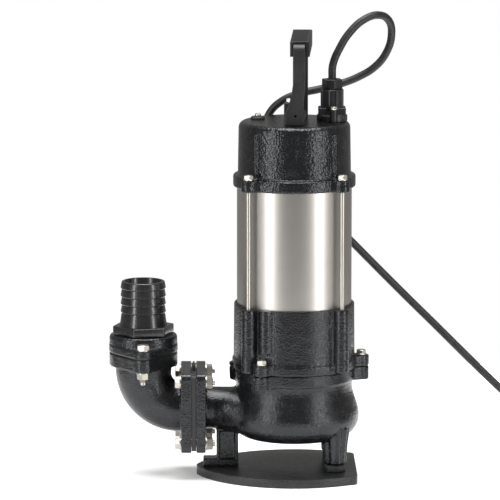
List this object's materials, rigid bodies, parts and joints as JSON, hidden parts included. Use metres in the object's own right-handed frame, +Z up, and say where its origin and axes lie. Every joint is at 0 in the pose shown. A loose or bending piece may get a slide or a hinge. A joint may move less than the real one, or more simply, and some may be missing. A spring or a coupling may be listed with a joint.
{
  "type": "submersible sump pump",
  "caption": "Upright submersible drainage pump with a cast casing, steel motor tube, discharge elbow with hose barb, foot plate, lifting handle and supply cord.",
  "frame": {"origin": "on the motor shaft axis, at the underside of the foot plate", "axes": "+Z up along the shaft, +X away from the discharge elbow, -Y towards the front"},
  "size_m": [0.6396, 0.2525, 0.5388],
  "materials": {
    "casting": "black enamel over cast iron, fine hammered texture, semi-gloss",
    "plate": "black painted steel plate, semi-gloss",
    "tube": "satin stainless steel tube",
    "fastener": "stainless steel bolts, nuts and washers",
    "shaft": "ground stainless steel",
    "core": "stacked electrical steel",
    "winding": "varnished copper wire",
    "rubber": "matte black rubber",
    "cord": "dark grey rubber cord sheath, satin",
    "barb": "moulded black plastic, satin gloss",
    "plastic": "black moulded plastic, matte",
    "handle": "matte black painted steel",
    "ceramic": "pale ceramic seal face"
  },
  "bodies": {
    "root": {"base_plate": "plate", "stand_nut_front": "casting", "stand_nut_rear": "casting", "pump_casing": "casting", "valve_gasket": "rubber", "discharge_elbow": "casting", "companion_flange": "casting", "hose_barb": "barb", "oil_housing": "casting", "oil_plug": "fastener", "seal_cover": "casting", "lower_bearing_outer": "shaft", "upper_bearing_outer": "shaft", "seal_seat": "ceramic", "motor_tube": "tube", "stator_core": "core", "lower_winding": "winding", "upper_winding": "winding", "bearing_bracket": "casting", "motor_cap": "casting", "run_capacitor": "plastic", "handle": "handle", "handle_grip": "plastic", "handle_bolt": "fastener", "cable_gland": "plastic", "gland_nut": "plastic", "gland_screw_front": "fastener", "gland_screw_rear": "fastener", "test_plug": "rubber", "power_cord": "cord", "cord_coil": "cord", "cord_plug": "plastic", "flange_bolt_front_low": "fastener", "flange_nut_front_low": "fastener", "flange_bolt_front_high": "fastener", "flange_nut_front_high": "fastener", "elbow_bolt_front": "fastener", "elbow_nut_front": "fastener", "flange_bolt_rear_low": "fastener", "flange_nut_rear_low": "fastener", "flange_bolt_rear_high": "fastener", "flange_nut_rear_high": "fastener", "elbow_bolt_rear": "fastener", "elbow_nut_rear": "fastener", "casing_bolt_right": "fastener", "casing_bolt_front": "fastener", "casing_bolt_rear": "fastener", "tie_rod_rear_right": "fastener", "tie_rod_rear_left": "fastener", "tie_rod_front_left": "fastener", "tie_rod_front_right": "fastener"},
    "rotor": {"motor_shaft": "shaft", "rotor_core": "core", "impeller": "casting", "impeller_nut": "fastener", "lower_bearing_inner": "shaft", "upper_bearing_inner": "shaft", "seal_rotating_ring": "shaft"},
    "flap": {"valve_flap": "rubber", "valve_weight": "fastener"}
  },
  "joints": [
    {"name": "shaft_spin", "type": "hinge", "parent": "root", "child": "rotor", "pos_m": [0, 0, 0.2], "axis": [0, 0, 1], "continuous": true},
    {"name": "flap_swing", "type": "hinge", "parent": "root", "child": "flap", "pos_m": [-0.1168, 0, 0.103], "axis": [0, 1, 0], "range_deg": [0, 45]}
  ]
}
